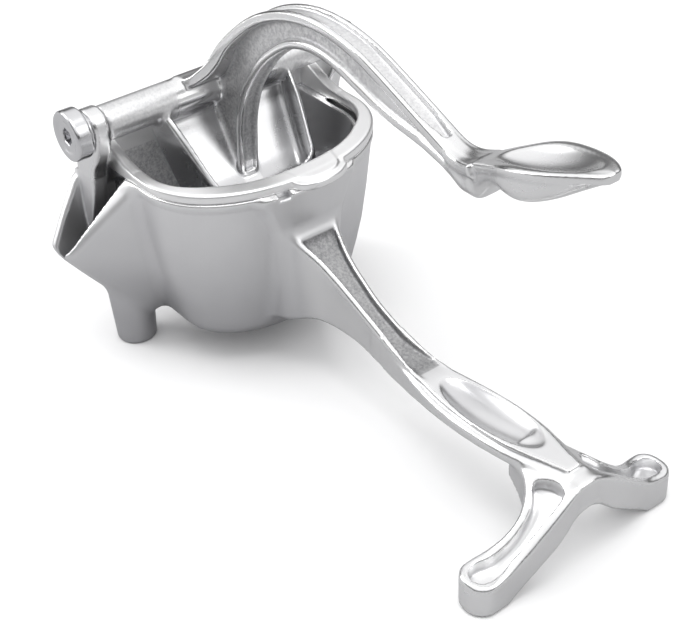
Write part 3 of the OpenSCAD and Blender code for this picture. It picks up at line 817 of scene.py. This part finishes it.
def aluminium(name, base=(0.875, 0.875, 0.875), rough=0.26, cast_rough=0.5, cast_bump=0.25, highlight_attr=None, grain=1.0, metal=1.0, cast_dark=0.72, cast_matte=0.0):
    m = bpy.data.materials.new(name)
    m.use_nodes = True
    nt = m.node_tree
    nt.nodes.clear()
    out = node(nt, "ShaderNodeOutputMaterial")
    bs = node(nt, "ShaderNodeBsdfPrincipled")
    bs.inputs["Metallic"].default_value = metal
    nt.links.new(bs.outputs[0], out.inputs[0])
    tc = node(nt, "ShaderNodeTexCoord")
    cast = node(nt, "ShaderNodeAttribute", attribute_name="cast")
    edge = node(nt, "ShaderNodeAttribute", attribute_name="edge")

    def math_(op, a, b=None, clamp=False):
        n = node(nt, "ShaderNodeMath", operation=op, use_clamp=clamp)
        for i, v in enumerate((a, b)):
            if v is None:
                continue
            if isinstance(v, (int, float)):
                n.inputs[i].default_value = v
            else:
                nt.links.new(v, n.inputs[i])
        return n.outputs[0]

    if cast_matte:
        nt.links.new(math_("SUBTRACT", metal, math_("MULTIPLY", cast.outputs["Fac"], cast_matte)), bs.inputs["Metallic"])

    def noise(scale, detail=3, rough_=0.6):
        n = node(nt, "ShaderNodeTexNoise")
        n.inputs["Scale"].default_value = scale
        n.inputs["Detail"].default_value = detail
        n.inputs["Roughness"].default_value = rough_
        nt.links.new(tc.outputs["Object"], n.inputs["Vector"])
        return n.outputs["Fac"]
    big = noise(28, 2)
    mid = noise(160, 4)
    fine = noise(1500, 2, 0.7)
    speck = noise(900, 3, 0.75)
    # edge wear: raised edges are rubbed smoother (lower roughness); hollows get painted shade, their colour multiplied
    # darker
    ev = math_("MULTIPLY", edge.outputs["Fac"], 1.0)
    pos = math_("MAXIMUM", ev, 0.0)
    neg = math_("MAXIMUM", math_("MULTIPLY", ev, -1.0), 0.0)
    r0 = math_("ADD", math_("MULTIPLY", big, 0.10), rough - 0.05)
    r1 = math_("ADD", r0, math_("MULTIPLY", mid, 0.06))
    r2 = math_("SUBTRACT", r1, math_("MULTIPLY", pos, 0.16))
    mixr = node(nt, "ShaderNodeMix", data_type="FLOAT")
    nt.links.new(cast.outputs["Fac"], mixr.inputs[0])
    nt.links.new(r2, mixr.inputs[2])
    mixr.inputs[3].default_value = cast_rough
    satin = node(nt, "ShaderNodeAttribute", attribute_name="satin")
    low = node(nt, "ShaderNodeAttribute", attribute_name="low")
    rr = math_("MAXIMUM", math_("ADD", mixr.outputs[0], math_("MULTIPLY", satin.outputs["Fac"], 0.14)), 0.08)
    nt.links.new(rr, bs.inputs["Roughness"])
    # colour
    ramp = node(nt, "ShaderNodeValToRGB")
    ramp.color_ramp.elements[0].position = 0.3
    ramp.color_ramp.elements[0].color = (base[0] * 0.93, base[1] * 0.93, base[2] * 0.935, 1)
    ramp.color_ramp.elements[1].position = 0.7
    ramp.color_ramp.elements[1].color = (*base, 1)
    nt.links.new(big, ramp.inputs[0])
    castc = node(nt, "ShaderNodeValToRGB")
    castc.color_ramp.elements[0].position = 0.36
    castc.color_ramp.elements[0].color = (base[0] * cast_dark * 0.72, base[1] * cast_dark * 0.72, base[2] * cast_dark * 0.74, 1)
    castc.color_ramp.elements[1].position = 0.62
    castc.color_ramp.elements[1].color = (base[0] * cast_dark * 1.15, base[1] * cast_dark * 1.15, base[2] * cast_dark * 1.15, 1)
    nt.links.new(speck, castc.inputs[0])
    mc = node(nt, "ShaderNodeMix", data_type="RGBA")
    nt.links.new(cast.outputs["Fac"], mc.inputs[0])
    nt.links.new(ramp.outputs[0], mc.inputs[6])
    nt.links.new(castc.outputs[0], mc.inputs[7])
    # painted shade: colour multiplied towards 0.42 grey in concave hollows (negative 'edge' curvature)
    hollow_shade_mix = node(nt, "ShaderNodeMix", data_type="RGBA", blend_type="MULTIPLY")
    nt.links.new(math_("MULTIPLY", neg, 1.0, True), hollow_shade_mix.inputs[0])
    nt.links.new(mc.outputs[2], hollow_shade_mix.inputs[6])
    hollow_shade_mix.inputs[7].default_value = (0.42, 0.42, 0.44, 1)
    ms = node(nt, "ShaderNodeMix", data_type="RGBA", blend_type="MULTIPLY")
    nt.links.new(satin.outputs["Fac"], ms.inputs[0])
    nt.links.new(hollow_shade_mix.outputs[2], ms.inputs[6])
    ms.inputs[7].default_value = (0.97, 0.97, 0.975, 1)
    # painted shade: colour multiplied by 0.70 where the 'low' attribute is set
    painted_shade_mix = node(nt, "ShaderNodeMix", data_type="RGBA", blend_type="MULTIPLY")
    nt.links.new(low.outputs["Fac"], painted_shade_mix.inputs[0])
    nt.links.new(ms.outputs[2], painted_shade_mix.inputs[6])
    painted_shade_mix.inputs[7].default_value = (0.70, 0.70, 0.71, 1)
    col = painted_shade_mix.outputs[2]
    # painted highlight: near-white colour mixed in where the highlight attribute is set, with roughness raised there
    if highlight_attr:
        highlight_node = node(nt, "ShaderNodeAttribute", attribute_name=highlight_attr)
        mp = node(nt, "ShaderNodeMix", data_type="RGBA")
        nt.links.new(highlight_node.outputs["Fac"], mp.inputs[0])
        nt.links.new(col, mp.inputs[6])
        mp.inputs[7].default_value = (0.985, 0.985, 0.985, 1)
        col = mp.outputs[2]
        rr2 = math_("ADD", rr, math_("MULTIPLY", highlight_node.outputs["Fac"], 0.16))
        nt.links.new(rr2, bs.inputs["Roughness"])
    nt.links.new(col, bs.inputs["Base Color"])
    # surface: faint tooling everywhere, blasted grain on the cast faces
    b1 = node(nt, "ShaderNodeBump")
    b1.inputs["Strength"].default_value = 0.05 * grain
    b1.inputs["Distance"].default_value = 0.0004
    nt.links.new(mid, b1.inputs["Height"])
    b2 = node(nt, "ShaderNodeBump")
    b2.inputs["Distance"].default_value = 0.0003
    nt.links.new(math_("MULTIPLY", cast.outputs["Fac"], cast_bump), b2.inputs["Strength"])
    nt.links.new(fine, b2.inputs["Height"])
    nt.links.new(b1.outputs[0], b2.inputs["Normal"])
    nt.links.new(b2.outputs[0], bs.inputs["Normal"])
    return m


def steel(name, base=(0.72, 0.72, 0.73), rough=0.22):
    m = bpy.data.materials.new(name)
    m.use_nodes = True
    nt = m.node_tree
    bs = nt.nodes["Principled BSDF"]
    bs.inputs["Metallic"].default_value = 1
    tc = node(nt, "ShaderNodeTexCoord")
    n1 = node(nt, "ShaderNodeTexNoise")
    n1.inputs["Scale"].default_value = 120
    nt.links.new(tc.outputs["Object"], n1.inputs["Vector"])
    ramp = node(nt, "ShaderNodeValToRGB")
    ramp.color_ramp.elements[0].color = (base[0] * 0.85, base[1] * 0.85, base[2] * 0.86, 1)
    ramp.color_ramp.elements[1].color = (*base, 1)
    nt.links.new(n1.outputs["Fac"], ramp.inputs[0])
    nt.links.new(ramp.outputs[0], bs.inputs["Base Color"])
    mr = node(nt, "ShaderNodeMapRange")
    mr.inputs["To Min"].default_value = rough - 0.06
    mr.inputs["To Max"].default_value = rough + 0.08
    nt.links.new(n1.outputs["Fac"], mr.inputs["Value"])
    nt.links.new(mr.outputs[0], bs.inputs["Roughness"])
    n2 = node(nt, "ShaderNodeTexNoise")
    n2.inputs["Scale"].default_value = 700
    nt.links.new(tc.outputs["Object"], n2.inputs["Vector"])
    b = node(nt, "ShaderNodeBump")
    b.inputs["Strength"].default_value = 0.08
    b.inputs["Distance"].default_value = 0.0002
    nt.links.new(n2.outputs["Fac"], b.inputs["Height"])
    nt.links.new(b.outputs[0], bs.inputs["Normal"])
    return m


def nylon(name):
    m = bpy.data.materials.new(name)
    m.use_nodes = True
    nt = m.node_tree
    bs = nt.nodes["Principled BSDF"]
    tc = node(nt, "ShaderNodeTexCoord")
    n1 = node(nt, "ShaderNodeTexNoise")
    n1.inputs["Scale"].default_value = 300
    nt.links.new(tc.outputs["Object"], n1.inputs["Vector"])
    ramp = node(nt, "ShaderNodeValToRGB")
    ramp.color_ramp.elements[0].color = (0.72, 0.70, 0.64, 1)
    ramp.color_ramp.elements[1].color = (0.88, 0.87, 0.82, 1)
    nt.links.new(n1.outputs["Fac"], ramp.inputs[0])
    nt.links.new(ramp.outputs[0], bs.inputs["Base Color"])
    mr = node(nt, "ShaderNodeMapRange")
    mr.inputs["To Min"].default_value = 0.4
    mr.inputs["To Max"].default_value = 0.6
    nt.links.new(n1.outputs["Fac"], mr.inputs["Value"])
    nt.links.new(mr.outputs[0], bs.inputs["Roughness"])
    return m


MAT_BODY = aluminium("cast_body", rough=0.28, cast_dark=0.46)
MAT_CUP = aluminium("cast_cup", base=(0.90, 0.90, 0.90), rough=0.20, cast_rough=0.6, cast_dark=0.86, cast_matte=0.7, highlight_attr="painted_highlight")
MAT_LEVER = aluminium("cast_lever", rough=0.24, cast_rough=0.48, cast_matte=0.25)
MAT_STEEL = steel("turned_steel")
MAT_NYLON = nylon("natural_nylon")

F, at = make_body()
build("casting_body", F, at, 3, "base", ["body"], MAT_BODY)
F, at = make_cup()
build("casting_cup", F, at, 2, "base", ["cup"], MAT_CUP)
F, at = make_lever()
build("casting_lever", F, at, 3, "lever", ["lever"], MAT_LEVER)
F, at = make_bolt()
build("bolt", F, at, 2, "base", ["pivot_bolt"], MAT_STEEL)
F, at = make_washer(-61.18, -59.62, 7.4, 0.3)
build("washer_near", F, at, 1, "base", ["thrust_washer"], MAT_STEEL)
F, at = make_washer(59.62, 60.6, 6.2, 0.2)
build("washer_far", F, at, 1, "base", ["far_washer"], MAT_STEEL)
F, at = make_nut()
build("nut", F, at, 1, "base", ["lock_nut"], MAT_STEEL)

for n, m in (("strainer", MAT_STEEL), ("hinge_bush_near", MAT_NYLON), ("hinge_bush_far", MAT_NYLON)):
    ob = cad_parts[n]
    ob.data.materials.clear()
    ob.data.materials.append(m)

# --------------------------------------------------------------------------
# stage, light, camera
# --------------------------------------------------------------------------
bpy.ops.mesh.primitive_plane_add(size=6, location=(0, 0, 0))
floor = bpy.context.object
floor.name = "floor"
fm = bpy.data.materials.new("floor")
fm.use_nodes = True
fb = fm.node_tree.nodes["Principled BSDF"]
fb.inputs["Base Color"].default_value = (0.93, 0.93, 0.93, 1)
fb.inputs["Roughness"].default_value = 0.9
# the metal sees a grey table, the camera a pale one
fl_nt = fm.node_tree
fl_path = fl_nt.nodes.new("ShaderNodeLightPath")
fl_mix = fl_nt.nodes.new("ShaderNodeMix")
fl_mix.data_type = "RGBA"
fl_mix.inputs[6].default_value = (0.95, 0.95, 0.95, 1)
fl_mix.inputs[7].default_value = (0.47, 0.47, 0.475, 1)
fl_nt.links.new(fl_path.outputs["Is Glossy Ray"], fl_mix.inputs[0])
fl_nt.links.new(fl_mix.outputs[2], fb.inputs["Base Color"])
fb.inputs["Specular IOR Level"].default_value = 0.1
floor.data.materials.append(fm)

world = bpy.data.worlds.new("studio")
bpy.context.scene.world = world
world.use_nodes = True
wn = world.node_tree
bg = wn.nodes["Background"]
tcw = wn.nodes.new("ShaderNodeTexCoord")
sep = wn.nodes.new("ShaderNodeSeparateXYZ")
wn.links.new(tcw.outputs["Generated"], sep.inputs[0])
rw = wn.nodes.new("ShaderNodeValToRGB")
rw.color_ramp.elements[0].position = 0.0
rw.color_ramp.elements[0].color = (0.60, 0.60, 0.60, 1)
rw.color_ramp.elements[1].position = 1.0
rw.color_ramp.elements[1].color = (1.0, 1.0, 1.0, 1)
for p, v in ((0.05, 0.22), (0.12, 0.06), (0.30, 0.07), (0.43, 0.60), (0.58, 1.0)):
    e = rw.color_ramp.elements.new(p)
    e.color = (v, v, v * 1.01, 1)
wn.links.new(sep.outputs["Z"], rw.inputs[0])
wn.links.new(rw.outputs[0], bg.inputs["Color"])
bg.inputs["Strength"].default_value = 1.1


def area(name, loc, target, size, power, size_y=None):
    l = bpy.data.lights.new(name, "AREA")
    l.energy = power
    l.size = size
    if size_y:
        l.shape = "RECTANGLE"
        l.size_y = size_y
    o = bpy.data.objects.new(name, l)
    bpy.context.scene.collection.objects.link(o)
    o.location = loc
    d = Vector(target) - Vector(loc)
    o.rotation_euler = d.to_track_quat("-Z", "Y").to_euler()
    return o


area("key", (0.15, -0.1, 1.1), (0, 0, 0.05), 0.7, 3.6, 0.5)
area("left", (-0.8, -0.7, 0.5), (0, 0, 0.06), 0.5, 4.4, 0.8)
area("right", (0.9, 0.5, 0.6), (0.05, 0, 0.06), 0.4, 1.8, 0.9)

az, el, roll = math.radians(53.96), math.radians(35.66), math.radians(-3.29)
fwd = Vector((-math.sin(az) * math.cos(el), math.cos(az) * math.cos(el), -math.sin(el)))
right = Vector((math.cos(az), math.sin(az), 0))
up = right.cross(fwd)
R_ = right * math.cos(roll) + up * math.sin(roll)
U_ = -right * math.sin(roll) + up * math.cos(roll)
cam = bpy.data.cameras.new("cam")
cam.sensor_width = 36
cam.lens = 1411.25 / 679 * 36
cam.clip_start = 0.01
co = bpy.data.objects.new("cam", cam)
bpy.context.scene.collection.objects.link(co)
M = Matrix((R_, U_, -fwd)).transposed().to_4x4()
M.translation = Vector(((404.6 + OX) / 1000, (-260.8 + OY) / 1000, 0.3508))
co.matrix_world = M
bpy.context.scene.camera = co
bpy.context.scene.view_settings.view_transform = "Standard"
